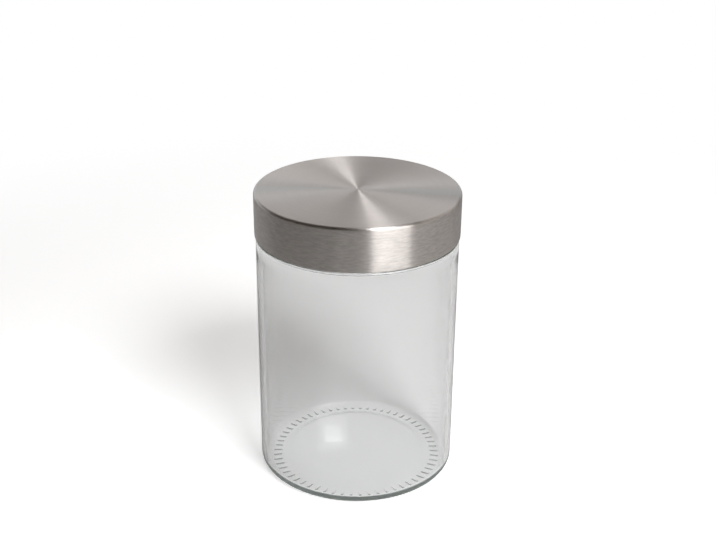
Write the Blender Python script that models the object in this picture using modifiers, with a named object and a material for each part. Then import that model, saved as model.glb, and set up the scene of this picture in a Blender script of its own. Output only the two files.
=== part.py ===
"""A glass storage jar with a screw-on steel lid, modelled as the four pieces that it comes apart into.

Metres, +Z up. The origin is the centre of the base, on the plane that the jar stands on.
The lid turns about +Z on the neck's single right-hand thread and climbs one pitch a turn.
"""

import math

import bmesh
import bpy
from mathutils import Matrix

# Glass body
BODY_RADIUS = 0.0514
BODY_WALL = 0.0030
SHOULDER_HEIGHT = 0.1287
SHOULDER_ROUND = 0.0008
INNER_SHOULDER_DROP = 0.0018
HEEL_ROUND = 0.0030
INNER_HEEL_ROUND = 0.0008

# Glass base: a flat bearing ring round a shallow push-up, with bar knurls standing down from the ring
BASE_THICKNESS = 0.0023
PUSH_UP_HEIGHT = 0.0007
PUSH_UP_RAMP = 0.0050
FLOOR_CROWN = 0.0003
BEARING_RING_WIDTH = 0.0094
KNURL_COUNT = 60
KNURL_HEIGHT = 0.0003
KNURL_WIDTH = 0.0024
KNURL_OUTER_MARGIN = 0.0028
KNURL_INNER_MARGIN = 0.0009
KNURL_DRAFT = 0.0004

# Glass neck: a transfer bead, then the thread, then the sealing rim
NECK_WALL = 0.0028
NECK_FILLET = 0.0003
RIM_ROUND = 0.0009
BEAD_RISE = 0.0018
BEAD_HEIGHT = 0.0030
BEAD_CLEARANCE = 0.0005

# Thread: the neck's ridge and the liner's ridge share one helix
THREAD_PITCH = 0.00508
THREAD_TURNS = 1.25
THREAD_START_DEPTH = 0.0030
THREAD_RUNOUT = 0.0014
THREAD_DEPTH = 0.0013
THREAD_CLEARANCE = 0.0004
FLANK_CLEARANCE = 0.00035
NECK_RIDGE_ROOT = 0.0026
NECK_RIDGE_CREST = 0.0012
LINER_RIDGE_ROOT = 0.0020
LINER_RIDGE_CREST = 0.0008
THREAD_FADE_ANGLE = math.radians(30)
THREAD_FADE_SCALE = 0.25
THREAD_EMBED = 0.4

# Lid: a drawn steel shell closed round a plastic liner, with a flat seal ring on the glass rim
LID_OVERHANG = 0.0006
LID_STANDOFF = 0.0006
SHELL_WALL = 0.0005
HEM_SETBACK = 0.0006
HEM_INNER_ROUND = 0.0002
LINER_WALL = 0.0015
LINER_TOP = 0.0015
LINER_CORNER = 0.0007
LINER_LEAD_IN = 0.0005
LIP_WALL = 0.0012
LIP_DEPTH = 0.0018
SEAL_THICKNESS = 0.0020
SEAL_MOUTH_OVERLAP = 0.0002
SEAL_SIDE_GAP = 0.0005
SEAL_BEVEL = 0.0003
SEAT_GAP = 0.0003

# Facets
ROUND_STEPS = 60
ARC_STEPS = 4
SMOOTH_ANGLE = math.radians(35)
MERGE_DISTANCE = 0.00001

# Radii that follow from the sizes above, from the lid inwards to the mouth
lid_radius = BODY_RADIUS + LID_OVERHANG
liner_outer_radius = lid_radius - SHELL_WALL - SEAT_GAP
liner_inner_radius = liner_outer_radius - LINER_WALL
neck_crest_radius = liner_inner_radius - THREAD_CLEARANCE
neck_radius = neck_crest_radius - THREAD_DEPTH
liner_crest_radius = neck_radius + THREAD_CLEARANCE
bead_radius = liner_inner_radius - BEAD_CLEARANCE
mouth_radius = neck_radius - NECK_WALL
body_inner_radius = BODY_RADIUS - BODY_WALL
bearing_outer_radius = BODY_RADIUS - HEEL_ROUND
bearing_inner_radius = bearing_outer_radius - BEARING_RING_WIDTH


def ridge_half_width(radius, root_radius, crest_radius, root_width, crest_width):
    """Half the axial width of a thread ridge at a radius between its root and its crest."""
    share = (radius - root_radius) / (crest_radius - root_radius)
    return (root_width + (crest_width - root_width) * share) / 2


def widest_meeting():
    """The most that the two ridges' half widths add up to, over the radii that both reach."""
    return max(
        ridge_half_width(radius, neck_radius, neck_crest_radius, NECK_RIDGE_ROOT, NECK_RIDGE_CREST)
        + ridge_half_width(
            radius, liner_inner_radius, liner_crest_radius, LINER_RIDGE_ROOT, LINER_RIDGE_CREST
        )
        for radius in (liner_crest_radius, neck_crest_radius)
    )


# Heights that follow, from the table up to the lid's top
floor_edge_height = KNURL_HEIGHT + PUSH_UP_HEIGHT + BASE_THICKNESS - FLOOR_CROWN
bead_low = SHOULDER_HEIGHT + BEAD_RISE
bead_top = bead_low + BEAD_HEIGHT
liner_ridge_drop = widest_meeting() + FLANK_CLEARANCE
liner_ridge_low = bead_top + THREAD_RUNOUT + LINER_RIDGE_ROOT / 2
neck_ridge_low = liner_ridge_low + liner_ridge_drop
rim_height = neck_ridge_low + THREAD_PITCH * THREAD_TURNS + THREAD_START_DEPTH

# The lid's own heights, measured from the glass rim
liner_underside = SEAT_GAP + SEAL_THICKNESS + SEAT_GAP
liner_top = liner_underside + LINER_TOP
shell_top = liner_top + SEAT_GAP + SHELL_WALL
shell_low = SHOULDER_HEIGHT + LID_STANDOFF - rim_height
liner_low = shell_low + SHELL_WALL + SEAT_GAP


def clear_scene():
    for obj in list(bpy.data.objects):
        bpy.data.objects.remove(obj, do_unlink=True)


def new_collection(name):
    collection = bpy.data.collections.new(name)
    bpy.context.scene.collection.children.link(collection)
    return collection


def new_empty(name, height, collection, parent=None):
    empty = bpy.data.objects.new(name, None)
    empty.empty_display_size = BODY_RADIUS
    empty.location.z = height
    empty.parent = parent
    collection.objects.link(empty)
    return empty


def plain_material(name, colour, roughness, metallic=0.0, transmission=0.0, ior=1.5):
    material = bpy.data.materials.new(name)
    material.use_nodes = True
    shader = material.node_tree.nodes["Principled BSDF"]
    shader.inputs["Base Color"].default_value = (*colour, 1.0)
    shader.inputs["Roughness"].default_value = roughness
    shader.inputs["Metallic"].default_value = metallic
    shader.inputs["Transmission Weight"].default_value = transmission
    shader.inputs["IOR"].default_value = ior
    return material


def arc(centre_radius, centre_height, radius, start_angle, end_angle):
    """Points of an arc in the profile plane. Angles are in degrees, from the outward radius up."""
    points = []
    for step in range(ARC_STEPS + 1):
        angle = math.radians(start_angle + (end_angle - start_angle) * step / ARC_STEPS)
        points.append(
            (centre_radius + radius * math.cos(angle), centre_height + radius * math.sin(angle))
        )
    return points


def s_curve(start, end):
    """Points of a soft double bend, which leaves start and reaches end along the profile's height."""
    points = []
    for step in range(ARC_STEPS + 1):
        along = step / ARC_STEPS
        across = (1 - math.cos(math.pi * along)) / 2
        points.append(
            (start[0] + (end[0] - start[0]) * across, start[1] + (end[1] - start[1]) * along)
        )
    return points


def ramp(start, end):
    """The same double bend turned on its side, level at both ends."""
    return [(across, along) for along, across in s_curve(start[::-1], end[::-1])]


def evaluated_mesh(obj):
    bpy.context.view_layer.update()
    graph = bpy.context.evaluated_depsgraph_get()
    return bpy.data.meshes.new_from_object(obj.evaluated_get(graph))


def turned(name, profile, collection, parent=None, closed=False, wall=0.0):
    """A profile of (radius, height) points turned about Z. With a wall, it is a sheet thickened inwards."""
    edges = [(first, first + 1) for first in range(len(profile) - 1)]
    if closed:
        edges.append((len(profile) - 1, 0))
    outline = bpy.data.meshes.new(name + "_profile")
    outline.from_pydata([(radius, 0.0, height) for radius, height in profile], edges, [])
    piece = bpy.data.objects.new(name, outline)
    piece.parent = parent
    collection.objects.link(piece)
    screw = piece.modifiers.new("Turn", "SCREW")
    screw.axis = "Z"
    screw.steps = ROUND_STEPS
    screw.render_steps = ROUND_STEPS
    screw.use_merge_vertices = True
    screw.merge_threshold = MERGE_DISTANCE
    if wall:
        shell = piece.modifiers.new("Wall", "SOLIDIFY")
        shell.thickness = wall
        shell.offset = -1.0
        shell.use_even_offset = True
    piece.data = evaluated_mesh(piece)
    piece.data.name = name
    piece.modifiers.clear()
    bpy.data.meshes.remove(outline)
    piece.data.shade_smooth()
    piece.data.set_sharp_from_angle(angle=SMOOTH_ANGLE)
    return piece


def join_with(piece, addition):
    """Makes the addition one body with the piece. It stays in the cutters' collection as a guide."""
    addition.hide_render = True
    addition.display_type = "WIRE"
    union = piece.modifiers.new(addition.name, "BOOLEAN")
    union.operation = "UNION"
    union.object = addition


def glass_profile():
    """From the axis on the inner floor, out and up the inside, over the rim and down the outside."""
    floor_radius = body_inner_radius - INNER_HEEL_ROUND
    floor = []
    for share in (0.0, 0.5):
        floor.append((floor_radius * share, floor_edge_height + FLOOR_CROWN * (1 - share**2)))
    inner_heel_height = floor_edge_height + INNER_HEEL_ROUND
    inner_shoulder_top = SHOULDER_HEIGHT - NECK_FILLET
    inside = [
        *floor,
        *arc(floor_radius, inner_heel_height, INNER_HEEL_ROUND, -90, 0),
        *s_curve(
            (body_inner_radius, inner_shoulder_top - INNER_SHOULDER_DROP),
            (mouth_radius, inner_shoulder_top),
        ),
    ]
    rim = [
        *arc(mouth_radius + RIM_ROUND, rim_height - RIM_ROUND, RIM_ROUND, 180, 90),
        *arc(neck_radius - RIM_ROUND, rim_height - RIM_ROUND, RIM_ROUND, 90, 0),
    ]
    shoulder_round = min(SHOULDER_ROUND, BODY_RADIUS - neck_radius - NECK_FILLET)
    neck = [
        *bead_points(),
        (neck_radius, SHOULDER_HEIGHT + NECK_FILLET),
        (neck_radius + NECK_FILLET, SHOULDER_HEIGHT),
    ]
    outside = [
        *arc(BODY_RADIUS - shoulder_round, SHOULDER_HEIGHT - shoulder_round, shoulder_round, 90, 0),
        *arc(bearing_outer_radius, KNURL_HEIGHT + HEEL_ROUND, HEEL_ROUND, 0, -90),
    ]
    ramp_height = KNURL_HEIGHT + PUSH_UP_HEIGHT / 2
    push_up_radius = bearing_inner_radius - PUSH_UP_RAMP
    base = ramp((bearing_inner_radius, KNURL_HEIGHT), (push_up_radius, ramp_height))
    for share in (0.5, 0.0):
        base.append((push_up_radius * share, KNURL_HEIGHT + PUSH_UP_HEIGHT * (1 - share**2 / 2)))
    return [*inside, *rim, *neck, *outside, *base]


def bead_points():
    """The transfer bead below the thread, a half-round band from its top to its foot."""
    middle = (bead_low + bead_top) / 2
    points = []
    for step in range(ARC_STEPS + 1):
        angle = math.pi * step / ARC_STEPS
        points.append(
            (
                neck_radius + (bead_radius - neck_radius) * math.sin(angle),
                middle + BEAD_HEIGHT / 2 * math.cos(angle),
            )
        )
    return points


def knurl_bars(collection):
    """Short radial bars, drafted towards the table, that stand down from the bearing ring."""
    length = BEARING_RING_WIDTH - KNURL_OUTER_MARGIN - KNURL_INNER_MARGIN
    middle_radius = bearing_inner_radius + KNURL_INNER_MARGIN + length / 2
    bar_height = 2 * KNURL_HEIGHT
    bars = bmesh.new()
    for index in range(KNURL_COUNT):
        turn = Matrix.Rotation(2 * math.pi * (index + 0.5) / KNURL_COUNT, 4, "Z")
        place = Matrix.Translation((middle_radius, 0.0, bar_height / 2))
        corners = bmesh.ops.create_cube(bars, size=1.0)["verts"]
        for corner in corners:
            draft = KNURL_DRAFT if corner.co.z < 0 else 0.0
            corner.co.x *= length - 2 * draft
            corner.co.y *= KNURL_WIDTH - 2 * draft
            corner.co.z *= bar_height
        bmesh.ops.transform(bars, matrix=turn @ place, verts=corners)
    mesh = bpy.data.meshes.new("knurl_bars")
    bars.to_mesh(mesh)
    bars.free()
    obj = bpy.data.objects.new("knurl_bars", mesh)
    collection.objects.link(obj)
    return obj


def ridge_section(name, depth, root_width, crest_width, embed, collection):
    """The cross-section of a thread ridge as a closed flat curve: X is radial and Y is axial."""
    corners = [
        (-embed, -root_width / 2),
        (0.0, -root_width / 2),
        (depth, -crest_width / 2),
        (depth, crest_width / 2),
        (0.0, root_width / 2),
        (-embed, root_width / 2),
    ]
    curve = bpy.data.curves.new(name, "CURVE")
    curve.dimensions = "2D"
    curve.fill_mode = "NONE"
    spline = curve.splines.new("POLY")
    spline.points.add(len(corners) - 1)
    for point, (radial, axial) in zip(spline.points, corners):
        point.co = (radial, axial, 0.0, 1.0)
    spline.use_cyclic_u = True
    section = bpy.data.objects.new(name, curve)
    collection.objects.link(section)
    return section


def fade(angle, whole_angle):
    """1 along the thread, easing down to THREAD_FADE_SCALE over each end."""
    share = min(1.0, min(angle, whole_angle - angle) / THREAD_FADE_ANGLE)
    eased = share * share * (3 - 2 * share)
    return THREAD_FADE_SCALE + (1 - THREAD_FADE_SCALE) * eased


def thread_ridge(name, wall_radius, depth, wall, widths, low_height, collection, parent=None):
    """A right-hand ridge on a wall, from low_height up. A negative depth makes it stand inwards.

    At both ends the section shrinks and its path sinks into the wall, so that the ridge fades out.
    """
    side = math.copysign(1.0, depth)
    embed = wall * THREAD_EMBED * side
    section = ridge_section(name + "_section", depth, *widths, embed, collection)
    curve = bpy.data.curves.new(name, "CURVE")
    curve.dimensions = "3D"
    curve.twist_mode = "Z_UP"
    curve.bevel_mode = "OBJECT"
    curve.bevel_object = section
    curve.use_fill_caps = True
    whole_angle = 2 * math.pi * THREAD_TURNS
    steps = round(ROUND_STEPS * THREAD_TURNS)
    spline = curve.splines.new("POLY")
    spline.points.add(steps)
    for index, point in enumerate(spline.points):
        angle = whole_angle * index / steps
        scale = fade(angle, whole_angle)
        sink = (1 - scale) * embed
        radius = wall_radius - sink
        height = low_height + THREAD_PITCH * angle / (2 * math.pi)
        point.co = (radius * math.cos(angle), radius * math.sin(angle), height, 1.0)
        point.radius = scale
    path = bpy.data.objects.new(name + "_path", curve)
    collection.objects.link(path)
    mesh = evaluated_mesh(path)
    mesh.name = name
    weld = bmesh.new()
    weld.from_mesh(mesh)
    bmesh.ops.remove_doubles(weld, verts=weld.verts, dist=MERGE_DISTANCE)
    bmesh.ops.recalc_face_normals(weld, faces=weld.faces)
    weld.to_mesh(mesh)
    weld.free()
    mesh.shade_smooth()
    mesh.set_sharp_from_angle(angle=SMOOTH_ANGLE)
    ridge = bpy.data.objects.new(name, mesh)
    ridge.parent = parent
    collection.objects.link(ridge)
    bpy.data.objects.remove(path, do_unlink=True)
    bpy.data.objects.remove(section, do_unlink=True)
    return ridge


def glass_jar(parts, cutters):
    jar = turned("glass_jar", glass_profile(), parts)
    jar.data.materials.append(
        plain_material("clear_glass", (0.95, 0.98, 0.97), 0.02, transmission=1.0, ior=1.52)
    )
    ridge = thread_ridge(
        "neck_thread",
        neck_radius,
        THREAD_DEPTH,
        NECK_WALL,
        (NECK_RIDGE_ROOT, NECK_RIDGE_CREST),
        neck_ridge_low,
        cutters,
    )
    join_with(jar, ridge)
    join_with(jar, knurl_bars(cutters))
    return jar


def seal_ring(parts, lid_lift):
    """A flat ring between the glass rim and the liner, held sideways by the liner's lip."""
    inner_radius = mouth_radius - SEAL_MOUTH_OVERLAP
    outer_radius = liner_inner_radius - SEAL_SIDE_GAP
    profile = [
        (inner_radius + SEAL_BEVEL, SEAL_THICKNESS),
        (outer_radius - SEAL_BEVEL, SEAL_THICKNESS),
        (outer_radius, SEAL_THICKNESS - SEAL_BEVEL),
        (outer_radius, SEAL_BEVEL),
        (outer_radius - SEAL_BEVEL, 0.0),
        (inner_radius + SEAL_BEVEL, 0.0),
        (inner_radius, SEAL_BEVEL),
        (inner_radius, SEAL_THICKNESS - SEAL_BEVEL),
    ]
    seal = turned("seal_ring", profile, parts, parent=lid_lift, closed=True)
    seal.location.z = SEAT_GAP
    seal.data.materials.append(plain_material("seal_rubber", (0.82, 0.83, 0.82), 0.6))
    return seal


def lid_liner(parts, cutters, lid_turn):
    """The threaded plastic cap inside the steel shell."""
    lip_outer_radius = mouth_radius - SEAL_MOUTH_OVERLAP - SEAT_GAP
    lip_inner_radius = lip_outer_radius - LIP_WALL
    lip_low = liner_underside - LIP_DEPTH
    profile = [
        (0.0, liner_top),
        *arc(liner_outer_radius - LINER_CORNER, liner_top - LINER_CORNER, LINER_CORNER, 90, 0),
        (liner_outer_radius, liner_low),
        (liner_inner_radius + LINER_LEAD_IN, liner_low),
        (liner_inner_radius, liner_low + LINER_LEAD_IN),
        (liner_inner_radius, liner_underside),
        (lip_outer_radius, liner_underside),
        (lip_outer_radius, lip_low),
        (lip_inner_radius, lip_low),
        (lip_inner_radius, liner_underside),
        (0.0, liner_underside),
    ]
    liner = turned("lid_liner", profile, parts, parent=lid_turn)
    liner.data.materials.append(plain_material("white_plastic", (0.85, 0.86, 0.85), 0.4))
    ridge = thread_ridge(
        "liner_thread",
        liner_inner_radius,
        liner_crest_radius - liner_inner_radius,
        LINER_WALL,
        (LINER_RIDGE_ROOT, LINER_RIDGE_CREST),
        liner_ridge_low - rim_height,
        cutters,
        parent=lid_turn,
    )
    join_with(liner, ridge)
    return liner


def lid_shell(parts, lid_turn):
    """The drawn steel cap: its outer face turned as a sheet, with the hem turned in under the liner."""
    corner = LINER_CORNER + SEAT_GAP + SHELL_WALL
    hem_round = SHELL_WALL + HEM_INNER_ROUND
    profile = [
        (0.0, shell_top),
        *arc(lid_radius - corner, shell_top - corner, corner, 90, 0),
        *arc(lid_radius - hem_round, shell_low + hem_round, hem_round, 0, -90),
        (liner_inner_radius + HEM_SETBACK, shell_low),
    ]
    shell = turned("lid_shell", profile, parts, parent=lid_turn, wall=SHELL_WALL)
    shell.data.materials.append(plain_material("brushed_steel", (0.62, 0.60, 0.58), 0.3, metallic=1.0))
    return shell


def main():
    clear_scene()
    parts = new_collection("storage_jar")
    cutters = new_collection("storage_jar_cutters")
    cutters.hide_render = True
    lid_lift = new_empty("lid_lift", rim_height, parts)
    lid_turn = new_empty("lid_turn", 0.0, parts, parent=lid_lift)
    glass_jar(parts, cutters)
    seal_ring(parts, lid_lift)
    lid_liner(parts, cutters, lid_turn)
    lid_shell(parts, lid_turn)


main()
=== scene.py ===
"""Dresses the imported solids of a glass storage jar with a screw-on steel lid.

Each piece is modelled again with its fine surface and stands for its solid: the clear glass body with
its thread and base knurls, the brushed steel shell, the threaded plastic liner and the seal ring.
Metres, +Z up, in the frame of the solids. The stage holds the floor, the lamps and the camera.
"""

import math

import bmesh
import bpy
from bpy.props import FloatProperty, FloatVectorProperty, IntProperty, PointerProperty
from mathutils import Matrix, Vector, noise


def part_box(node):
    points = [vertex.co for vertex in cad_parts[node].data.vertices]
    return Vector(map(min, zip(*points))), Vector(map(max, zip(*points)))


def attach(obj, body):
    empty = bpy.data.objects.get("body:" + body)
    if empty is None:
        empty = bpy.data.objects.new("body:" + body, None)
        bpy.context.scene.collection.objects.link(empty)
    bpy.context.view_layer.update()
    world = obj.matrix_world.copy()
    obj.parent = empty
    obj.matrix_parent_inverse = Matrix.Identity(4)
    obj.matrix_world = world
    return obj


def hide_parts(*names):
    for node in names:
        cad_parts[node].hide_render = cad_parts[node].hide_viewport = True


bl_info = {
    "name": "Glass storage jar",
    "version": (1, 0, 0),
    "blender": (4, 5, 0),
    "location": "3D View > Sidebar > Storage Jar",
    "description": "Builds a clear glass storage jar with a brushed steel screw lid",
    "category": "Add Mesh",
}

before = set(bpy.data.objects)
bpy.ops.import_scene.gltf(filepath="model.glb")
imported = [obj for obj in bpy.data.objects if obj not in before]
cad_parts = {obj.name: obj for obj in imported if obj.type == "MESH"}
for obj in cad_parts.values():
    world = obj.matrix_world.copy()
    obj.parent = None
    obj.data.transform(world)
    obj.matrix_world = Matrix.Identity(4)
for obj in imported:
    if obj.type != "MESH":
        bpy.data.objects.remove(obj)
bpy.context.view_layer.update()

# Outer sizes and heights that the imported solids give
body_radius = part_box("glass_jar")[1].x
rim_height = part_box("glass_jar")[1].z
shell_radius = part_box("lid_shell")[1].x
shell_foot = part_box("lid_shell")[0].z
shell_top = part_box("lid_shell")[1].z
liner_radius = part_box("lid_liner")[1].x
liner_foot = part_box("lid_liner")[0].z
liner_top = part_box("lid_liner")[1].z
seal_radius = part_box("seal_ring")[1].x
seal_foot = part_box("seal_ring")[0].z
seal_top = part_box("seal_ring")[1].z

# Steps round the axis, and the sectors that a turned piece is repeated from
GLASS_STEPS = 480
LID_STEPS = 360
SECTORS = 10
MERGE_DISTANCE = 1e-6
FLOOR_SEGMENTS = 96

# Distance between the rings of a wall that carries a thread
THREAD_RING_SPACING = 0.0003

# Steps along each stretch of the glass profile
INNER_FLOOR_STEPS = 8
INNER_HEEL_STEPS = 16
INNER_WALL_STEPS = 20
INNER_BEND_STEPS = 16
MOUTH_STEPS = 4
RIM_STEPS = 5
BEAD_STEPS = 10
NECK_FILLET_STEPS = 3
SHOULDER_STEPS = 12
OUTER_WALL_STEPS = 8
OUTER_HEEL_STEPS = 14
BAR_END_STEPS = 5
PUSH_UP_RAMP_STEPS = 10
PUSH_UP_STEPS = 5

# Steps along each stretch of the profiles of seal, liner and shell
SEAL_EDGE_STEPS = 5
LINER_TOP_STEPS = 6
LINER_CORNER_STEPS = 6
SHELL_TOP_STEPS = 8
SHELL_CORNER_STEPS = 10
SHELL_SIDE_STEPS = 6
HEM_STEPS = 8
HEM_EDGE_STEPS = 6
HEM_INSIDE_STEPS = 3
CORNER_INSIDE_STEPS = 6

# Edges of the liner that are sharper than this stay sharp
SHARP_ANGLE = math.radians(40)

# The inner wall wanders between this height and this far below the shoulder, and fades at both ends
WANDER_FOOT = 0.012
WANDER_TOP_MARGIN = 0.006
WANDER_FADE = 0.01

GLASS_IOR = 1.52
PLASTIC_IOR = 1.49

# Light that has met this many surfaces leaves the glass straight on
GLASS_BOUNCES = 4.5

# How steeply a glass surface turns opaque to lamps towards its edges
FILM_POWER = 5.0

# The steel's brushing: lines a metre across it, and how often one changes round the axis
LONG_LINES, LONG_STREAK = 2400.0, 2.0
SHORT_LINES, SHORT_STREAK = 1500.0, 30.0
CLOUD_LINES, CLOUD_STREAK = 160.0, 0.6
MOTTLE_LINES, MOTTLE_STREAK = 1200.0, 12.0
BRUSH_DEPTH = 0.000004

# The part of a line pattern's range that is used, and how strong its finest detail is
LINES_LOW, LINES_HIGH = 0.35, 0.65
LINES_ROUGHNESS = 0.6

# How much the lines, the clouds and the mottling change the steel's colour, and the roughness between lines
LINE_SHADE = 0.06
CLOUD_SHARE = 0.4
MOTTLE_SHADE = 0.10
STEEL_ROUGHNESS = (0.29, 0.36)

# Upward share of a normal below which the steel is all mottled, and above which it is not
MOTTLE_FULL, MOTTLE_NONE = 0.3, 0.9

# Grains a metre in the plastic and the rubber, their darkest share of the colour and their roughness
PLASTIC_GRAIN, PLASTIC_SHADE, PLASTIC_ROUGHNESS = 900.0, 0.96, (0.36, 0.46)
RUBBER_GRAIN, RUBBER_SHADE, RUBBER_ROUGHNESS = 1500.0, 0.95, (0.55, 0.66)
GRAIN_LOW, GRAIN_HIGH = 0.3, 0.7
NOISE_DETAIL = 3.0

# Where the lamps stand and what they face
LAMP_DISTANCE = 1.2
LAMP_AIM_HEIGHT = 0.1

# Each lamp's name, degrees right of the camera, degrees above the floor, width, height, glow and colour
WHITE = (1.0, 1.0, 1.0)
LAMPS = (
    ("key_soft_box", 36.3, 17.0, 0.90, 0.75, 2.55, WHITE),
    ("key_side", 46.0, 14.0, 0.34, 0.60, 1.4, WHITE),
    ("key_window", 31.0, 46.0, 0.42, 0.42, 13.5, WHITE),
    ("top_panel", 30.0, 78.0, 0.40, 0.40, 1.4, WHITE),
    ("back_panel", 168.0, 46.0, 1.68, 0.90, 0.74, (1.0, 0.975, 0.975)),
    ("side_strip", -16.8, 8.0, 0.03, 0.50, 0.9, WHITE),
    ("glint", 183.0, 27.5, 0.036, 0.034, 1.5, WHITE),
    ("glint_edge", 183.1, 27.6, 0.070, 0.070, 0.8, WHITE),
)

# Distances from the jar between which the floor turns white for the camera
FLOOR_FADE_START, FLOOR_FADE_END = 0.25, 0.6

# The room's pale parts, by the direction in which they lie: where each begins, where it is full, and its glow
ROOM_LEAN = -0.35
BEHIND_START, BEHIND_FULL, BEHIND_GLOW = 0.3, 1.0, 0.80
LOW_FULL, LOW_END = 0.26, 0.42
BESIDE_START, BESIDE_FULL, BESIDE_GLOW = 0.55, 0.9, 0.6
BESIDE_LOW_FULL, BESIDE_LOW_END = 0.2, 1.1

# The photograph's viewpoint: pitch, yaw and roll in degrees, the lens and the place
CAMERA_ANGLES = (24.24, 0.042, 0.41)
CAMERA_SENSOR = 36.0
CAMERA_LENS = 59.47
CAMERA_PLACE = (0.0, -0.5527, 0.3567)


def length(name, description, default):
    return FloatProperty(
        name=name, description=description, default=default, unit="LENGTH", subtype="DISTANCE", precision=5
    )


def colour(name, description, default):
    return FloatVectorProperty(
        name=name, description=description, default=default, size=3, min=0.0, max=1.0, subtype="COLOR"
    )


def open_colour(name, description, default):
    """A colour that may be brighter than white."""
    return FloatVectorProperty(
        name=name, description=description, default=default, size=3, min=0.0, subtype="COLOR"
    )


class GlassSettings(bpy.types.PropertyGroup):
    """Sizes of the glass body that the box of its solid doesn't give."""

    wall: length("Wall", "Thickness of the body's wall", 0.0030)
    shoulder_height: length("Shoulder", "Height of the shoulder that the lid comes down to", 0.1287)
    shoulder_round: length("Shoulder Round", "Radius of the shoulder's outer edge", 0.0008)
    shoulder_drop: length("Shoulder Drop", "Height of the bend from inner wall to mouth", 0.0018)
    heel_round: length("Heel Round", "Radius between wall and base, outside", 0.0030)
    inner_heel_round: length("Inner Heel Round", "Radius between wall and floor, inside", 0.0008)
    base_thickness: length("Base Thickness", "Thickness of glass in the middle of the base", 0.0023)
    push_up_height: length("Push Up", "How far the underside rises in the middle", 0.0007)
    push_up_ramp: length("Push Up Ramp", "Width of the slope inside the bearing ring", 0.0050)
    floor_crown: length("Floor Crown", "How far the inner floor rises in the middle", 0.0003)
    ring_width: length("Bearing Ring", "Width of the flat ring that carries the knurls", 0.0094)
    knurl_count: IntProperty(name="Knurls", description="Number of bars under the ring", default=60)
    knurl_height: length("Knurl Height", "How far a bar stands down from the ring", 0.0003)
    knurl_width: length("Knurl Width", "Width of a bar at its root", 0.0026)
    knurl_outer_margin: length("Knurl Outer Margin", "Plain ring left outside the bars", 0.0028)
    knurl_inner_margin: length("Knurl Inner Margin", "Plain ring left inside the bars", 0.0009)
    knurl_flank: length("Knurl Flank", "Width of a bar's soft side", 0.0012)
    knurl_end: length("Knurl End", "Length of a bar's soft end", 0.0016)
    neck_radius: length("Neck Radius", "Outer radius of the neck, without its thread", 0.0480)
    neck_wall: length("Neck Wall", "Thickness of the neck's wall", 0.0028)
    neck_fillet: length("Neck Fillet", "Radius where the neck leaves the shoulder", 0.0003)
    rim_round: length("Rim Round", "Radius of the rim's two edges", 0.0009)
    bead_rise: length("Bead Rise", "Height of the transfer bead above the shoulder", 0.0018)
    bead_height: length("Bead Height", "Height of the transfer bead", 0.0030)
    bead_depth: length("Bead Depth", "How far the transfer bead stands out", 0.0012)
    wave: length("Wave", "How far the inner wall wanders from true", 0.00005)
    wave_spacing: length("Wave Spacing", "Distance over which the inner wall wanders", 0.0250)
    tint: colour("Tint", "Colour of the light that the glass lets through", (0.88, 0.92, 0.92))
    film: colour("Film", "What one glass surface lets straight through", (0.955, 0.957, 0.957))
    # The colour for light that has run along inside the glass is partly real loss in the glass and partly
    # painted shade, standing in for the dark places such light would meet under the lid and at the heel
    guided_loss_and_shade: colour("Guided", "What is left of light that has run along inside the glass", (0.50, 0.56, 0.53))
    shade: FloatProperty(
        name="Shade", description="How fast the tint deepens with thickness", default=9.0, min=0.0
    )


class ThreadSettings(bpy.types.PropertyGroup):
    """Sizes of the screw thread that the neck and the liner share."""

    pitch: length("Pitch", "How far the lid climbs in a turn", 0.00508)
    turns: FloatProperty(name="Turns", description="Length of each ridge in turns", default=1.25)
    depth: length("Depth", "How far a ridge stands off its wall", 0.0013)
    neck_low: length("Neck Start", "Height where the neck's ridge starts", 0.137735)
    neck_root: length("Neck Root", "Width of the neck's ridge at its root", 0.0026)
    neck_crest: length("Neck Crest", "Width of the neck's ridge at its crest", 0.0012)
    liner_low: length("Liner Start", "Height where the liner's ridge starts", 0.1359)
    liner_root: length("Liner Root", "Width of the liner's ridge at its root", 0.0020)
    liner_crest: length("Liner Crest", "Width of the liner's ridge at its crest", 0.0008)
    fade_angle: FloatProperty(
        name="Fade", description="Turn over which an end fades out", default=math.radians(30), subtype="ANGLE"
    )


class LidSettings(bpy.types.PropertyGroup):
    """Sizes and finishes of the steel shell, the liner and the seal ring."""

    sheet: length("Sheet", "Thickness of the steel", 0.0005)
    corner_round: length("Corner Round", "Outer radius of the shell's top edge", 0.0015)
    hem_round: length("Hem Round", "Outer radius of the shell's lower edge", 0.0007)
    hem_width: length("Hem Width", "How far the hem turns in", 0.0017)
    liner_wall: length("Liner Wall", "Thickness of the liner's skirt", 0.0015)
    liner_panel: length("Liner Panel", "Thickness of the liner's top", 0.0015)
    liner_corner: length("Liner Corner", "Radius of the liner's top edge", 0.0007)
    liner_edge: length("Liner Edge", "Chamfer on the liner's small edges", 0.0003)
    liner_lead_in: length("Liner Lead In", "Chamfer at the foot of the skirt", 0.0005)
    lip_radius: length("Lip Radius", "Outer radius of the lip that centres the seal", 0.0447)
    lip_wall: length("Lip Wall", "Thickness of the lip", 0.0012)
    lip_depth: length("Lip Depth", "How far the lip hangs down", 0.0018)
    seal_bore: length("Seal Bore", "Inner radius of the seal ring", 0.0450)
    seal_round: length("Seal Round", "Radius of the seal ring's edges", 0.0004)
    steel: colour("Steel", "Colour of the brushed steel", (0.635, 0.60, 0.575))
    steel_cloud: colour("Steel Cloud", "Colour of the warmer clouds in the brushing", (0.61, 0.565, 0.54))
    plastic: colour("Plastic", "Colour of the liner", (0.85, 0.86, 0.85))
    rubber: colour("Rubber", "Colour of the seal ring", (0.82, 0.83, 0.82))


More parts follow.
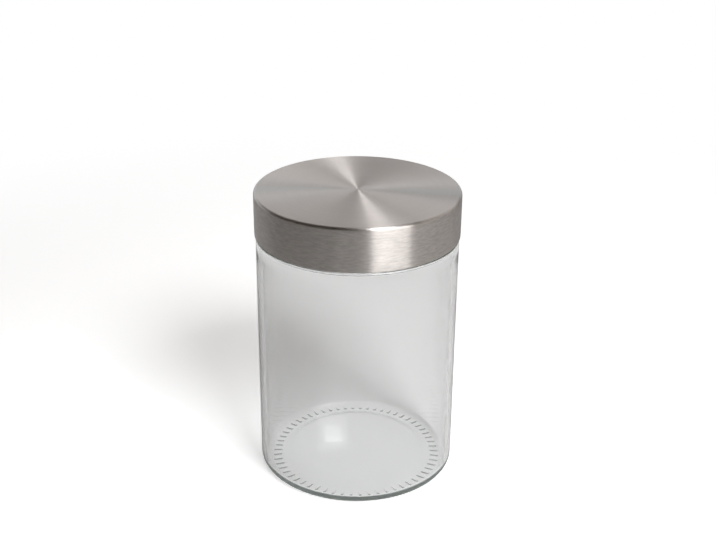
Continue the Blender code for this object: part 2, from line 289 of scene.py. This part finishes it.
class StudioSettings(bpy.types.PropertyGroup):
    """The floor, the lamps and the camera round the jar."""

    floor: colour("Floor", "Colour of the floor", (0.60, 0.60, 0.60))
    floor_size: length("Floor Size", "Radius of the floor", 4.0)
    floor_gap: length("Floor Gap", "Distance kept between the floor and the knurls", 0.0001)
    seen_floor: open_colour("Seen Floor", "Colour of the floor as the camera sees it", (1.50, 1.515, 1.53))
    glass_floor: open_colour("Glass Floor", "Colour of the floor seen through glass", (1.10, 1.105, 1.12))
    lift: FloatProperty(name="Lift", description="Light added to the floor for the camera", default=0.165)
    room_front: colour("Room Front", "Colour of the dark room in front of the jar", (0.038, 0.030, 0.022))
    room_behind: open_colour("Room Behind", "Colour of the pale room behind the jar", (0.96, 1.0, 1.02))
    room_beside: colour("Room Beside", "Colour of the pale room on the right", (1.0, 0.95, 0.90))


def smooth_step(share):
    """Eases from 0 to 1, level at both ends."""
    share = min(1.0, max(0.0, share))
    return share * share * (3 - 2 * share)


def straight(start, end, steps=1):
    """Points of a straight run in the profile plane, each a pair of radius and height."""
    start, end = Vector(start), Vector(end)
    return [start.lerp(end, step / steps) for step in range(steps + 1)]


def arc(centre, radius, start_angle, end_angle, steps):
    """Points of an arc in the profile plane. Angles are in degrees, from the outward radius up."""
    points = []
    for step in range(steps + 1):
        angle = math.radians(start_angle + (end_angle - start_angle) * step / steps)
        points.append(Vector(centre) + radius * Vector((math.cos(angle), math.sin(angle))))
    return points


def double_bend(start, end, steps):
    """Points of a soft S from start to end, upright at both ends."""
    start, end = Vector(start), Vector(end)
    points = []
    for step in range(steps + 1):
        along = step / steps
        across = (1 - math.cos(math.pi * along)) / 2
        points.append(Vector((start.x + (end.x - start.x) * across, start.y + (end.y - start.y) * along)))
    return points


def ramp(start, end, steps):
    """The same S turned on its side, level at both ends."""
    return [point.yx for point in double_bend(start[::-1], end[::-1], steps)]


def turned(profile, steps, closed=False):
    """A mesh turned about Z from a profile of radius and height, closed and facing outwards.

    One sector is spun and then repeated round the axis, which is much faster than one whole spin.
    """
    mesh = bmesh.new()
    points = [mesh.verts.new((point[0], 0.0, point[1])) for point in profile]
    edges = [mesh.edges.new(pair) for pair in zip(points, points[1:])]
    if closed:
        edges.append(mesh.edges.new((points[-1], points[0])))
    sector_angle = 2 * math.pi / SECTORS
    about_z = {"cent": (0.0, 0.0, 0.0), "axis": (0.0, 0.0, 1.0)}
    bmesh.ops.spin(mesh, geom=points + edges, angle=sector_angle, steps=steps // SECTORS, **about_z)
    sector = mesh.verts[:] + mesh.edges[:] + mesh.faces[:]
    for index in range(1, SECTORS):
        copy = bmesh.ops.duplicate(mesh, geom=sector)["geom"]
        verts = [item for item in copy if isinstance(item, bmesh.types.BMVert)]
        turn = Matrix.Rotation(sector_angle * index, 3, "Z")
        bmesh.ops.rotate(mesh, verts=verts, cent=about_z["cent"], matrix=turn)
    bmesh.ops.remove_doubles(mesh, verts=mesh.verts, dist=MERGE_DISTANCE)
    bmesh.ops.recalc_face_normals(mesh, faces=mesh.faces)
    return mesh


def finished(name, mesh, material, body, node):
    """Turns the bmesh into a smooth piece that rides on its body and stands for its solid."""
    data = bpy.data.meshes.new(name)
    mesh.to_mesh(data)
    mesh.free()
    data.shade_smooth()
    data.materials.append(material)
    piece = bpy.data.objects.new(name, data)
    bpy.context.scene.collection.objects.link(piece)
    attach(piece, body)
    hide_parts(node)
    return piece


def ridge_rise(angle, height, low, root, crest, thread):
    """How far a thread ridge that starts at low stands off its wall at a point of that wall."""
    whole = 2 * math.pi * thread.turns
    rise = 0.0
    for turn in range(math.ceil(thread.turns)):
        along = angle + 2 * math.pi * turn
        if along > whole:
            break
        fade = smooth_step(min(along, whole - along) / thread.fade_angle)
        off = abs(height - low - thread.pitch * along / (2 * math.pi))
        flank = (root / 2 - off) / (root / 2 - crest / 2)
        rise = max(rise, thread.depth * fade * smooth_step(flank))
    return rise


def raise_thread(mesh, wall_radius, low, root, crest, side, thread):
    """Moves a round wall's vertices out (side 1) or in (side -1) to form its thread ridge."""
    for vert in mesh.verts:
        if abs(vert.co.xy.length - wall_radius) < MERGE_DISTANCE:
            angle = math.atan2(vert.co.y, vert.co.x) % (2 * math.pi)
            rise = ridge_rise(angle, vert.co.z, low, root, crest, thread)
            vert.co.xy *= 1 + side * rise / wall_radius


def bearing_ring(glass):
    """Outer and inner radius of the flat ring under the base."""
    outer = body_radius - glass.heel_round
    return outer, outer - glass.ring_width


def bar_ends(glass):
    """Radii of the outer and inner ends of the knurls' bars."""
    outer, inner = bearing_ring(glass)
    return outer - glass.knurl_outer_margin, inner + glass.knurl_inner_margin


def inside_profile(glass):
    """From the axis on the inner floor up the inside wall and over the rim."""
    inner_radius = body_radius - glass.wall
    floor_radius = inner_radius - glass.inner_heel_round
    floor_edge = glass.knurl_height + glass.push_up_height + glass.base_thickness - glass.floor_crown
    floor = []
    for step in range(INNER_FLOOR_STEPS):
        share = step / INNER_FLOOR_STEPS
        floor.append((floor_radius * share, floor_edge + glass.floor_crown * (1 - share**2)))
    heel_centre = (floor_radius, floor_edge + glass.inner_heel_round)
    wall_foot = (inner_radius, heel_centre[1])
    bend_top = (glass.neck_radius - glass.neck_wall, glass.shoulder_height - glass.neck_fillet)
    bend_foot = (inner_radius, bend_top[1] - glass.shoulder_drop)
    rim_foot = rim_height - glass.rim_round
    mouth_top = (bend_top[0], rim_foot)
    rim_inside = (bend_top[0] + glass.rim_round, rim_foot)
    rim_outside = (glass.neck_radius - glass.rim_round, rim_foot)
    return [
        *floor,
        *arc(heel_centre, glass.inner_heel_round, -90, 0, INNER_HEEL_STEPS),
        *straight(wall_foot, bend_foot, INNER_WALL_STEPS)[1:-1],
        *double_bend(bend_foot, bend_top, INNER_BEND_STEPS),
        *straight(bend_top, mouth_top, MOUTH_STEPS)[1:-1],
        *arc(rim_inside, glass.rim_round, 180, 90, RIM_STEPS),
        *arc(rim_outside, glass.rim_round, 90, 0, RIM_STEPS),
    ]


def neck_profile(glass):
    """Down the outside of the neck from the rim, over the transfer bead, to the shoulder."""
    bead_foot = glass.shoulder_height + glass.bead_rise
    neck_top = (glass.neck_radius, rim_height - glass.rim_round)
    neck_foot = (glass.neck_radius, bead_foot + glass.bead_height)
    neck_rings = round((neck_top[1] - neck_foot[1]) / THREAD_RING_SPACING)
    bead = []
    for step in range(BEAD_STEPS + 1):
        angle = math.pi * step / BEAD_STEPS
        radius = glass.neck_radius + glass.bead_depth * math.sin(angle)
        bead.append((radius, bead_foot + glass.bead_height * (1 + math.cos(angle)) / 2))
    fillet_centre = (glass.neck_radius + glass.neck_fillet, glass.shoulder_height + glass.neck_fillet)
    return [
        *straight(neck_top, neck_foot, neck_rings)[1:-1],
        *bead,
        *arc(fillet_centre, glass.neck_fillet, 180, 270, NECK_FILLET_STEPS),
    ]


def outside_profile(glass):
    """From the shoulder's edge down the outside wall and round the heel."""
    shoulder_centre = (body_radius - glass.shoulder_round, glass.shoulder_height - glass.shoulder_round)
    heel_centre = (bearing_ring(glass)[0], glass.knurl_height + glass.heel_round)
    wall_top = (body_radius, shoulder_centre[1])
    wall_foot = (body_radius, heel_centre[1])
    return [
        *arc(shoulder_centre, glass.shoulder_round, 90, 0, SHOULDER_STEPS),
        *straight(wall_top, wall_foot, OUTER_WALL_STEPS)[1:-1],
        *arc(heel_centre, glass.heel_round, 0, -90, OUTER_HEEL_STEPS),
    ]


def underside_profile(glass):
    """From the bars' outer ends in across the bearing ring and the push-up to the axis."""
    outer, inner = bar_ends(glass)
    level = glass.knurl_height
    ramp_foot = (bearing_ring(glass)[1], level)
    ramp_top = (ramp_foot[0] - glass.push_up_ramp, level + glass.push_up_height / 2)
    push_up = []
    for step in range(1, PUSH_UP_STEPS + 1):
        share = 1 - step / PUSH_UP_STEPS
        push_up.append((ramp_top[0] * share, level + glass.push_up_height * (1 - share**2 / 2)))
    return [
        *straight((outer, level), (outer - glass.knurl_end, level), BAR_END_STEPS),
        *straight((inner + glass.knurl_end, level), (inner, level), BAR_END_STEPS),
        *ramp(ramp_foot, ramp_top, PUSH_UP_RAMP_STEPS),
        *push_up,
    ]


def stand_knurls(mesh, glass):
    """Presses bars with soft edges down from the bearing ring to the height that the jar stands on."""
    outer, inner = bar_ends(glass)
    for vert in mesh.verts:
        radius = vert.co.xy.length
        if vert.co.z > glass.knurl_height + MERGE_DISTANCE or not inner < radius < outer:
            continue
        share = math.atan2(vert.co.y, vert.co.x) / (2 * math.pi) * glass.knurl_count
        across = abs(share % 1 - 0.5) * 2 * math.pi * radius / glass.knurl_count
        side = smooth_step((glass.knurl_width / 2 - across) / glass.knurl_flank)
        end = smooth_step(min(outer - radius, radius - inner) / glass.knurl_end)
        vert.co.z -= glass.knurl_height * side * end


def wander(mesh, glass):
    """Lets the inner wall wander a little from true, as glass that set against air does."""
    inner_radius = body_radius - glass.wall
    top = glass.shoulder_height - WANDER_TOP_MARGIN
    for vert in mesh.verts:
        radius = vert.co.xy.length
        if abs(radius - inner_radius) < MERGE_DISTANCE:
            fade = smooth_step(min(vert.co.z - WANDER_FOOT, top - vert.co.z) / WANDER_FADE)
            offset = glass.wave * fade * noise.noise(vert.co / glass.wave_spacing)
            vert.co.xy *= 1 + offset / radius


def add_node(tree, kind, inputs=None, **settings):
    """Adds a node, sets its own settings, then links or sets its inputs by name or number."""
    node = tree.nodes.new(kind)
    for name, value in settings.items():
        setattr(node, name, value)
    for name, value in (inputs or {}).items():
        if isinstance(value, bpy.types.NodeSocket):
            tree.links.new(value, node.inputs[name])
        else:
            node.inputs[name].default_value = value
    return node


def maths(tree, operation, first, second=0.0, third=0.0):
    """One Math node on numbers or sockets."""
    node = add_node(tree, "ShaderNodeMath", {0: first, 1: second, 2: third}, operation=operation)
    return node.outputs[0]


def spread(tree, value, from_low, from_high, to_low, to_high, smooth=False):
    """Maps a value from one range to another, held at the ends."""
    node = add_node(
        tree,
        "ShaderNodeMapRange",
        {"Value": value, "From Min": from_low, "From Max": from_high, "To Min": to_low, "To Max": to_high},
        interpolation_type="SMOOTHSTEP" if smooth else "LINEAR",
    )
    return node.outputs["Result"]


def mixed(tree, factor, first, second, blend="MIX"):
    """Mixes two colours. Inputs 0, 6 and 7 and output 2 are the Mix node's sockets for colour."""
    node = add_node(
        tree, "ShaderNodeMix", {0: factor, 6: first, 7: second}, data_type="RGBA", blend_type=blend
    )
    return node.outputs[2]


def noise_at(tree, vector, scale, roughness=0.5):
    """Noise from 0 to 1 with this many cells to a metre of the vector."""
    node = add_node(
        tree,
        "ShaderNodeTexNoise",
        {"Vector": vector, "Scale": scale, "Detail": NOISE_DETAIL, "Roughness": roughness},
    )
    return node.outputs["Fac"]


def object_place(tree):
    """The place on the piece, in metres."""
    return add_node(tree, "ShaderNodeTexCoord").outputs["Object"]


def new_material(name, **constants):
    """A material with a Principled shader whose plain values are set, its node tree and that shader."""
    material = bpy.data.materials.new(name)
    material.use_nodes = True
    tree = material.node_tree
    shader = tree.nodes["Principled BSDF"]
    for key, value in constants.items():
        shader.inputs[key.replace("_", " ")].default_value = value
    return material, tree, shader


def new_group(name, inputs, outputs):
    """A shader node group with named sockets, and its inside ends."""
    group = bpy.data.node_groups.new(name, "ShaderNodeTree")
    for socket, kind in inputs.items():
        group.interface.new_socket(name=socket, in_out="INPUT", socket_type=kind)
    for socket, kind in outputs.items():
        group.interface.new_socket(name=socket, in_out="OUTPUT", socket_type=kind)
    return group, group.nodes.new("NodeGroupInput").outputs, group.nodes.new("NodeGroupOutput").inputs


def brushed_lines_group():
    """Fine lines that run round the Z axis, across the top and down the side alike.

    Density is lines a metre across the brushing, and Streak is how often a line changes round the axis.
    """
    number = "NodeSocketFloat"
    group, given, result = new_group(
        "brushed_lines",
        {"Vector": "NodeSocketVector", "Density": number, "Streak": number},
        {"Lines": number},
    )
    place = add_node(group, "ShaderNodeSeparateXYZ", {0: given["Vector"]})
    flat = add_node(group, "ShaderNodeCombineXYZ", {0: place.outputs["X"], 1: place.outputs["Y"]}).outputs[0]
    radius = add_node(group, "ShaderNodeVectorMath", {0: flat}, operation="LENGTH").outputs["Value"]
    around = add_node(group, "ShaderNodeVectorMath", {0: flat}, operation="NORMALIZE").outputs["Vector"]
    around = add_node(
        group, "ShaderNodeVectorMath", {0: around, "Scale": given["Streak"]}, operation="SCALE"
    ).outputs["Vector"]
    across = maths(group, "MULTIPLY", maths(group, "SUBTRACT", radius, place.outputs["Z"]), given["Density"])
    across = add_node(group, "ShaderNodeCombineXYZ", {2: across}).outputs[0]
    where = add_node(group, "ShaderNodeVectorMath", {0: around, 1: across}, operation="ADD").outputs["Vector"]
    group.links.new(noise_at(group, where, 1.0, LINES_ROUGHNESS), result["Lines"])
    return group


def brushed_lines(tree, density, streak):
    """The group of brushed lines, placed in a material with its own density and streak."""
    group = bpy.data.node_groups.get("brushed_lines") or brushed_lines_group()
    node = add_node(
        tree,
        "ShaderNodeGroup",
        {"Vector": object_place(tree), "Density": density, "Streak": streak},
        node_tree=group,
    )
    return node.outputs["Lines"]


def lines_to(tree, lines, low, high):
    """Maps the used part of a line pattern's range to the one given."""
    return spread(tree, lines, LINES_LOW, LINES_HIGH, low, high)


def glass_material(glass):
    """Clear glass that tints with thickness. Lamps and floor light pass straight through it."""
    material, tree, shader = new_material(
        "clear_container_glass",
        Base_Color=(*WHITE, 1.0),
        Roughness=0.0,
        IOR=GLASS_IOR,
        Transmission_Weight=1.0,
    )
    output = tree.nodes["Material Output"]
    rays = add_node(tree, "ShaderNodeLightPath").outputs
    passing = maths(tree, "MAXIMUM", rays["Is Shadow Ray"], rays["Is Diffuse Ray"])
    spent = maths(tree, "GREATER_THAN", rays["Ray Depth"], GLASS_BOUNCES)
    trapped = maths(tree, "GREATER_THAN", maths(tree, "SUBTRACT", spent, passing), 0.5)
    passing = maths(tree, "MAXIMUM", passing, spent)
    facing = add_node(tree, "ShaderNodeLayerWeight", {"Blend": 0.5}).outputs["Facing"]
    film = mixed(tree, maths(tree, "POWER", facing, FILM_POWER), (*glass.film, 1.0), (0.0, 0.0, 0.0, 1.0))
    # Light past its bounces takes the guided colour: partly real loss in the glass, partly painted shade for
    # the dark places it would meet
    film = mixed(tree, trapped, film, (*glass.guided_loss_and_shade, 1.0))
    clear = add_node(tree, "ShaderNodeBsdfTransparent", {"Color": film}).outputs[0]
    surface = add_node(tree, "ShaderNodeMixShader", {0: passing, 1: shader.outputs[0], 2: clear}).outputs[0]
    tree.links.new(surface, output.inputs["Surface"])
    depth = add_node(
        tree, "ShaderNodeVolumeAbsorption", {"Color": (*glass.tint, 1.0), "Density": glass.shade}
    ).outputs[0]
    tree.links.new(depth, output.inputs["Volume"])
    return material


def steel_material(lid):
    """Stainless steel brushed round its axis, with long lines on the top and short ones on the side."""
    material, tree, shader = new_material(
        "brushed_stainless_steel", Metallic=1.0, Roughness=0.32, Anisotropic=1.0, Anisotropic_Rotation=0.25
    )
    tangent = add_node(tree, "ShaderNodeTangent", direction_type="RADIAL", axis="Z")
    tree.links.new(tangent.outputs[0], shader.inputs["Tangent"])
    long_lines = brushed_lines(tree, LONG_LINES, LONG_STREAK)
    short_lines = brushed_lines(tree, SHORT_LINES, SHORT_STREAK)
    cloud = brushed_lines(tree, CLOUD_LINES, CLOUD_STREAK)
    lines = maths(tree, "MULTIPLY", maths(tree, "ADD", long_lines, short_lines), 0.5)
    dark = [channel * (1 - LINE_SHADE) for channel in lid.steel]
    bright = [channel * (1 + LINE_SHADE) for channel in lid.steel]
    base = mixed(tree, lines_to(tree, lines, 0.0, 1.0), (*dark, 1.0), (*bright, 1.0))
    base = mixed(tree, lines_to(tree, cloud, 0.0, CLOUD_SHARE), base, (*lid.steel_cloud, 1.0))
    facing = add_node(tree, "ShaderNodeTexCoord").outputs["Normal"]
    facing_up = add_node(tree, "ShaderNodeSeparateXYZ", {0: facing}).outputs["Z"]
    on_side = spread(tree, facing_up, MOTTLE_FULL, MOTTLE_NONE, 1.0, 0.0)
    mottle = lines_to(tree, brushed_lines(tree, MOTTLE_LINES, MOTTLE_STREAK), -MOTTLE_SHADE, MOTTLE_SHADE)
    mottle = maths(tree, "MULTIPLY_ADD", mottle, on_side, 1.0)
    base = mixed(tree, 1.0, base, mottle, "MULTIPLY")
    tree.links.new(base, shader.inputs["Base Color"])
    tree.links.new(lines_to(tree, lines, *STEEL_ROUGHNESS), shader.inputs["Roughness"])
    bump = add_node(tree, "ShaderNodeBump", {"Strength": 1.0, "Distance": BRUSH_DEPTH, "Height": lines})
    tree.links.new(bump.outputs[0], shader.inputs["Normal"])
    return material


def moulded_material(name, full_colour, grain_density, shade, roughness, **constants):
    """A moulded finish whose fine grain changes its colour and roughness a little."""
    material, tree, shader = new_material(name, **constants)
    grain = noise_at(tree, object_place(tree), grain_density)
    shaded = [channel * shade for channel in full_colour]
    base = mixed(tree, grain, (*shaded, 1.0), (*full_colour, 1.0))
    tree.links.new(base, shader.inputs["Base Color"])
    tree.links.new(spread(tree, grain, GRAIN_LOW, GRAIN_HIGH, *roughness), shader.inputs["Roughness"])
    return material


def plastic_material(lid):
    """Moulded plastic with a faint satin skin."""
    return moulded_material(
        "moulded_polypropylene",
        lid.plastic,
        PLASTIC_GRAIN,
        PLASTIC_SHADE,
        PLASTIC_ROUGHNESS,
        Roughness=0.4,
        IOR=PLASTIC_IOR,
    )


def rubber_material(lid):
    """Soft matt seal rubber."""
    return moulded_material(
        "seal_ring_rubber", lid.rubber, RUBBER_GRAIN, RUBBER_SHADE, RUBBER_ROUGHNESS, Roughness=0.6
    )


class STORAGEJAR_OT_glass_body(bpy.types.Operator):
    """Build the clear glass body with its thread, transfer bead and base knurls"""

    bl_idname = "storage_jar.glass_body"
    bl_label = "Glass Body"

    def execute(self, context):
        glass = context.scene.storage_jar_glass
        thread = context.scene.storage_jar_thread
        parts = (inside_profile, neck_profile, outside_profile, underside_profile)
        mesh = turned([point for part in parts for point in part(glass)], GLASS_STEPS)
        raise_thread(
            mesh, glass.neck_radius, thread.neck_low, thread.neck_root, thread.neck_crest, 1, thread
        )
        stand_knurls(mesh, glass)
        wander(mesh, glass)
        finished("glass_body", mesh, glass_material(glass), "jar", "glass_jar")
        return {"FINISHED"}


class STORAGEJAR_OT_seal(bpy.types.Operator):
    """Build the seal ring that lies on the glass rim"""

    bl_idname = "storage_jar.seal"
    bl_label = "Seal Ring"

    def execute(self, context):
        lid = context.scene.storage_jar_lid
        edge = lid.seal_round
        outer, inner = seal_radius - edge, lid.seal_bore + edge
        high, low = seal_top - edge, seal_foot + edge
        profile = [
            *arc((outer, high), edge, 90, 0, SEAL_EDGE_STEPS),
            *arc((outer, low), edge, 0, -90, SEAL_EDGE_STEPS),
            *arc((inner, low), edge, 270, 180, SEAL_EDGE_STEPS),
            *arc((inner, high), edge, 180, 90, SEAL_EDGE_STEPS),
        ]
        mesh = turned(profile, LID_STEPS, closed=True)
        finished("seal", mesh, rubber_material(lid), "seal", "seal_ring")
        return {"FINISHED"}


class STORAGEJAR_OT_liner(bpy.types.Operator):
    """Build the plastic liner with its thread and the lip that centres the seal"""

    bl_idname = "storage_jar.liner"
    bl_label = "Liner"

    def execute(self, context):
        lid = context.scene.storage_jar_lid
        thread = context.scene.storage_jar_thread
        inner_radius = liner_radius - lid.liner_wall
        underside = liner_top - lid.liner_panel
        lip_foot = underside - lid.lip_depth
        lip_inner = lid.lip_radius - lid.lip_wall
        skirt_rings = round((underside - liner_foot) / THREAD_RING_SPACING)
        corner, edge = lid.liner_corner, lid.liner_edge
        corner_centre = (liner_radius - corner, liner_top - corner)
        lead_in_foot = (inner_radius + lid.liner_lead_in, liner_foot)
        lead_in_top = (inner_radius, liner_foot + lid.liner_lead_in)
        profile = [
            *straight((0.0, liner_top), (liner_radius - corner, liner_top), LINER_TOP_STEPS)[:-1],
            *arc(corner_centre, corner, 90, 0, LINER_CORNER_STEPS),
            (liner_radius, liner_foot + edge),
            (liner_radius - edge, liner_foot),
            lead_in_foot,
            *straight(lead_in_top, (inner_radius, underside - edge), skirt_rings),
            (inner_radius - edge, underside),
            (lid.lip_radius, underside),
            (lid.lip_radius, lip_foot + edge),
            (lid.lip_radius - edge, lip_foot),
            (lip_inner + edge, lip_foot),
            (lip_inner, lip_foot + edge),
            (lip_inner, underside),
            (0.0, underside),
        ]
        mesh = turned(profile, LID_STEPS)
        raise_thread(
            mesh, inner_radius, thread.liner_low, thread.liner_root, thread.liner_crest, -1, thread
        )
        piece = finished("liner", mesh, plastic_material(lid), "lid", "lid_liner")
        piece.data.set_sharp_from_angle(angle=SHARP_ANGLE)
        return {"FINISHED"}


class STORAGEJAR_OT_shell(bpy.types.Operator):
    """Build the brushed steel shell, one sheet with a turned-in hem"""

    bl_idname = "storage_jar.shell"
    bl_label = "Steel Shell"

    def execute(self, context):
        lid = context.scene.storage_jar_lid
        outer = shell_radius
        corner, hem = lid.corner_round, lid.hem_round
        corner_centre = (outer - corner, shell_top - corner)
        hem_centre = (outer - hem, shell_foot + hem)
        fold_centre = (outer - lid.hem_width, shell_foot + lid.sheet / 2)
        profile = [
            *straight((0.0, shell_top), (outer - corner, shell_top), SHELL_TOP_STEPS)[:-1],
            *arc(corner_centre, corner, 90, 0, SHELL_CORNER_STEPS),
            *straight((outer, corner_centre[1]), (outer, hem_centre[1]), SHELL_SIDE_STEPS)[1:-1],
            *arc(hem_centre, hem, 0, -90, HEM_STEPS),
            *arc(fold_centre, lid.sheet / 2, 270, 90, HEM_EDGE_STEPS),
            *arc(hem_centre, hem - lid.sheet, -90, 0, HEM_INSIDE_STEPS),
            *arc(corner_centre, corner - lid.sheet, 0, 90, CORNER_INSIDE_STEPS),
            (0.0, shell_top - lid.sheet),
        ]
        mesh = turned(profile, LID_STEPS)
        finished("steel_shell", mesh, steel_material(lid), "lid", "lid_shell")
        return {"FINISHED"}


def add_lamp(name, azimuth, elevation, width, height, glow, tone):
    """A soft box that faces the jar, placed by its angle right of the camera and above the floor.

    Glow is the brightness of its face, where 1 is white.
    """
    data = bpy.data.lights.new(name, "AREA")
    data.shape = "RECTANGLE"
    data.size = width
    data.size_y = height
    data.energy = glow * math.pi * width * height
    data.color = tone
    azimuth, elevation = math.radians(azimuth), math.radians(elevation)
    level = math.cos(elevation)
    away = Vector((math.sin(azimuth) * level, -math.cos(azimuth) * level, math.sin(elevation)))
    lamp = bpy.data.objects.new(name, data)
    lamp.rotation_euler = away.to_track_quat("Z", "Y").to_euler()
    lamp.location = Vector((0.0, 0.0, LAMP_AIM_HEIGHT)) + away * LAMP_DISTANCE
    bpy.context.scene.collection.objects.link(lamp)


def add_floor(studio):
    """A pale floor that keeps the jar's shadow and turns white for the camera further off."""
    mesh = bmesh.new()
    bmesh.ops.create_circle(mesh, cap_ends=True, segments=FLOOR_SEGMENTS, radius=studio.floor_size)
    bmesh.ops.translate(mesh, verts=mesh.verts, vec=(0.0, 0.0, -studio.floor_gap))
    data = bpy.data.meshes.new("floor")
    mesh.to_mesh(data)
    mesh.free()
    material, tree, shader = new_material("pale_floor")
    tree.nodes.remove(shader)
    rays = add_node(tree, "ShaderNodeLightPath").outputs
    seen = maths(tree, "MAXIMUM", rays["Is Camera Ray"], rays["Is Transmission Ray"])
    colour_seen = mixed(tree, rays["Is Transmission Ray"], (*studio.floor, 1.0), (*studio.glass_floor, 1.0))
    colour_seen = mixed(tree, rays["Is Camera Ray"], colour_seen, (*studio.seen_floor, 1.0))
    paint = add_node(tree, "ShaderNodeBsdfDiffuse", {"Color": colour_seen}).outputs[0]
    lift = maths(tree, "MULTIPLY", rays["Is Camera Ray"], studio.lift)
    glow = add_node(tree, "ShaderNodeEmission", {"Strength": lift}).outputs[0]
    lit = add_node(tree, "ShaderNodeAddShader", {0: paint, 1: glow}).outputs[0]
    place = object_place(tree)
    distance = add_node(tree, "ShaderNodeVectorMath", {0: place}, operation="LENGTH").outputs["Value"]
    white = add_node(tree, "ShaderNodeEmission", {"Strength": 1.0}).outputs[0]
    far = spread(tree, distance, FLOOR_FADE_START, FLOOR_FADE_END, 0.0, 1.0, True)
    far = maths(tree, "MULTIPLY", seen, far)
    surface = add_node(tree, "ShaderNodeMixShader", {0: far, 1: lit, 2: white}).outputs[0]
    tree.links.new(surface, tree.nodes["Material Output"].inputs["Surface"])
    data.materials.append(material)
    floor = bpy.data.objects.new("floor", data)
    bpy.context.scene.collection.objects.link(floor)


def set_world(studio):
    """White for the camera and through glass. The rest sees a room, dark in front, pale behind and beside."""
    world = bpy.data.worlds.new("studio")
    bpy.context.scene.world = world
    world.use_nodes = True
    tree = world.node_tree
    heading = add_node(tree, "ShaderNodeTexCoord").outputs["Generated"]
    heading = add_node(tree, "ShaderNodeSeparateXYZ", {0: heading}).outputs
    behind = maths(tree, "MULTIPLY_ADD", heading["X"], ROOM_LEAN, heading["Y"])
    behind = spread(tree, behind, BEHIND_START, BEHIND_FULL, 0.0, BEHIND_GLOW, True)
    low = spread(tree, heading["Z"], LOW_FULL, LOW_END, 1.0, 0.0, True)
    behind = maths(tree, "MULTIPLY", behind, low)
    beside = spread(tree, heading["X"], BESIDE_START, BESIDE_FULL, 0.0, BESIDE_GLOW, True)
    low = spread(tree, heading["Z"], BESIDE_LOW_FULL, BESIDE_LOW_END, 1.0, 0.0, True)
    beside = maths(tree, "MULTIPLY", beside, low)
    room = mixed(tree, behind, (*studio.room_front, 1.0), (*studio.room_behind, 1.0))
    room = mixed(tree, beside, room, (*studio.room_beside, 1.0))
    rays = add_node(tree, "ShaderNodeLightPath").outputs
    seen = maths(tree, "MAXIMUM", rays["Is Camera Ray"], rays["Is Transmission Ray"])
    tree.links.new(mixed(tree, seen, room, (*WHITE, 1.0)), tree.nodes["Background"].inputs["Color"])


def add_camera():
    """The photograph's viewpoint, pitched down on the jar with a slight yaw and roll."""
    pitch, yaw, roll = (math.radians(angle) for angle in CAMERA_ANGLES)
    data = bpy.data.cameras.new("photograph_view")
    data.sensor_width = CAMERA_SENSOR
    data.lens = CAMERA_LENS
    camera = bpy.data.objects.new("photograph_view", data)
    turn = Matrix.Rotation(-yaw, 3, "Z") @ Matrix.Rotation(math.pi / 2 - pitch, 3, "X")
    turn = turn @ Matrix.Rotation(roll, 3, "Z")
    camera.rotation_euler = turn.to_euler()
    camera.location = CAMERA_PLACE
    bpy.context.scene.collection.objects.link(camera)
    bpy.context.scene.camera = camera


class STORAGEJAR_OT_studio(bpy.types.Operator):
    """Set up the floor, the lamps, the room and the camera"""

    bl_idname = "storage_jar.studio"
    bl_label = "Studio"

    def execute(self, context):
        studio = context.scene.storage_jar_studio
        context.scene.view_settings.view_transform = "Standard"
        add_floor(studio)
        set_world(studio)
        for lamp in LAMPS:
            add_lamp(*lamp)
        add_camera()
        return {"FINISHED"}


class STORAGEJAR_PT_workshop(bpy.types.Panel):
    """Lists the pieces of the jar and its stage"""

    bl_label = "Storage Jar"
    bl_idname = "STORAGEJAR_PT_workshop"
    bl_space_type = "VIEW_3D"
    bl_region_type = "UI"
    bl_category = "Storage Jar"

    def draw(self, context):
        for operator in OPERATORS:
            self.layout.operator(operator.bl_idname)


SETTINGS = {
    "storage_jar_glass": GlassSettings,
    "storage_jar_thread": ThreadSettings,
    "storage_jar_lid": LidSettings,
    "storage_jar_studio": StudioSettings,
}
OPERATORS = (
    STORAGEJAR_OT_glass_body,
    STORAGEJAR_OT_seal,
    STORAGEJAR_OT_liner,
    STORAGEJAR_OT_shell,
    STORAGEJAR_OT_studio,
)


def register():
    for kind in (*SETTINGS.values(), *OPERATORS, STORAGEJAR_PT_workshop):
        bpy.utils.register_class(kind)
    for name, settings in SETTINGS.items():
        setattr(bpy.types.Scene, name, PointerProperty(type=settings))


def unregister():
    for name in SETTINGS:
        delattr(bpy.types.Scene, name)
    for kind in (STORAGEJAR_PT_workshop, *reversed(OPERATORS), *SETTINGS.values()):
        bpy.utils.unregister_class(kind)


def main():
    register()
    bpy.ops.storage_jar.glass_body()
    bpy.ops.storage_jar.seal()
    bpy.ops.storage_jar.liner()
    bpy.ops.storage_jar.shell()
    bpy.ops.storage_jar.studio()


if __name__ == "__main__":
    main()
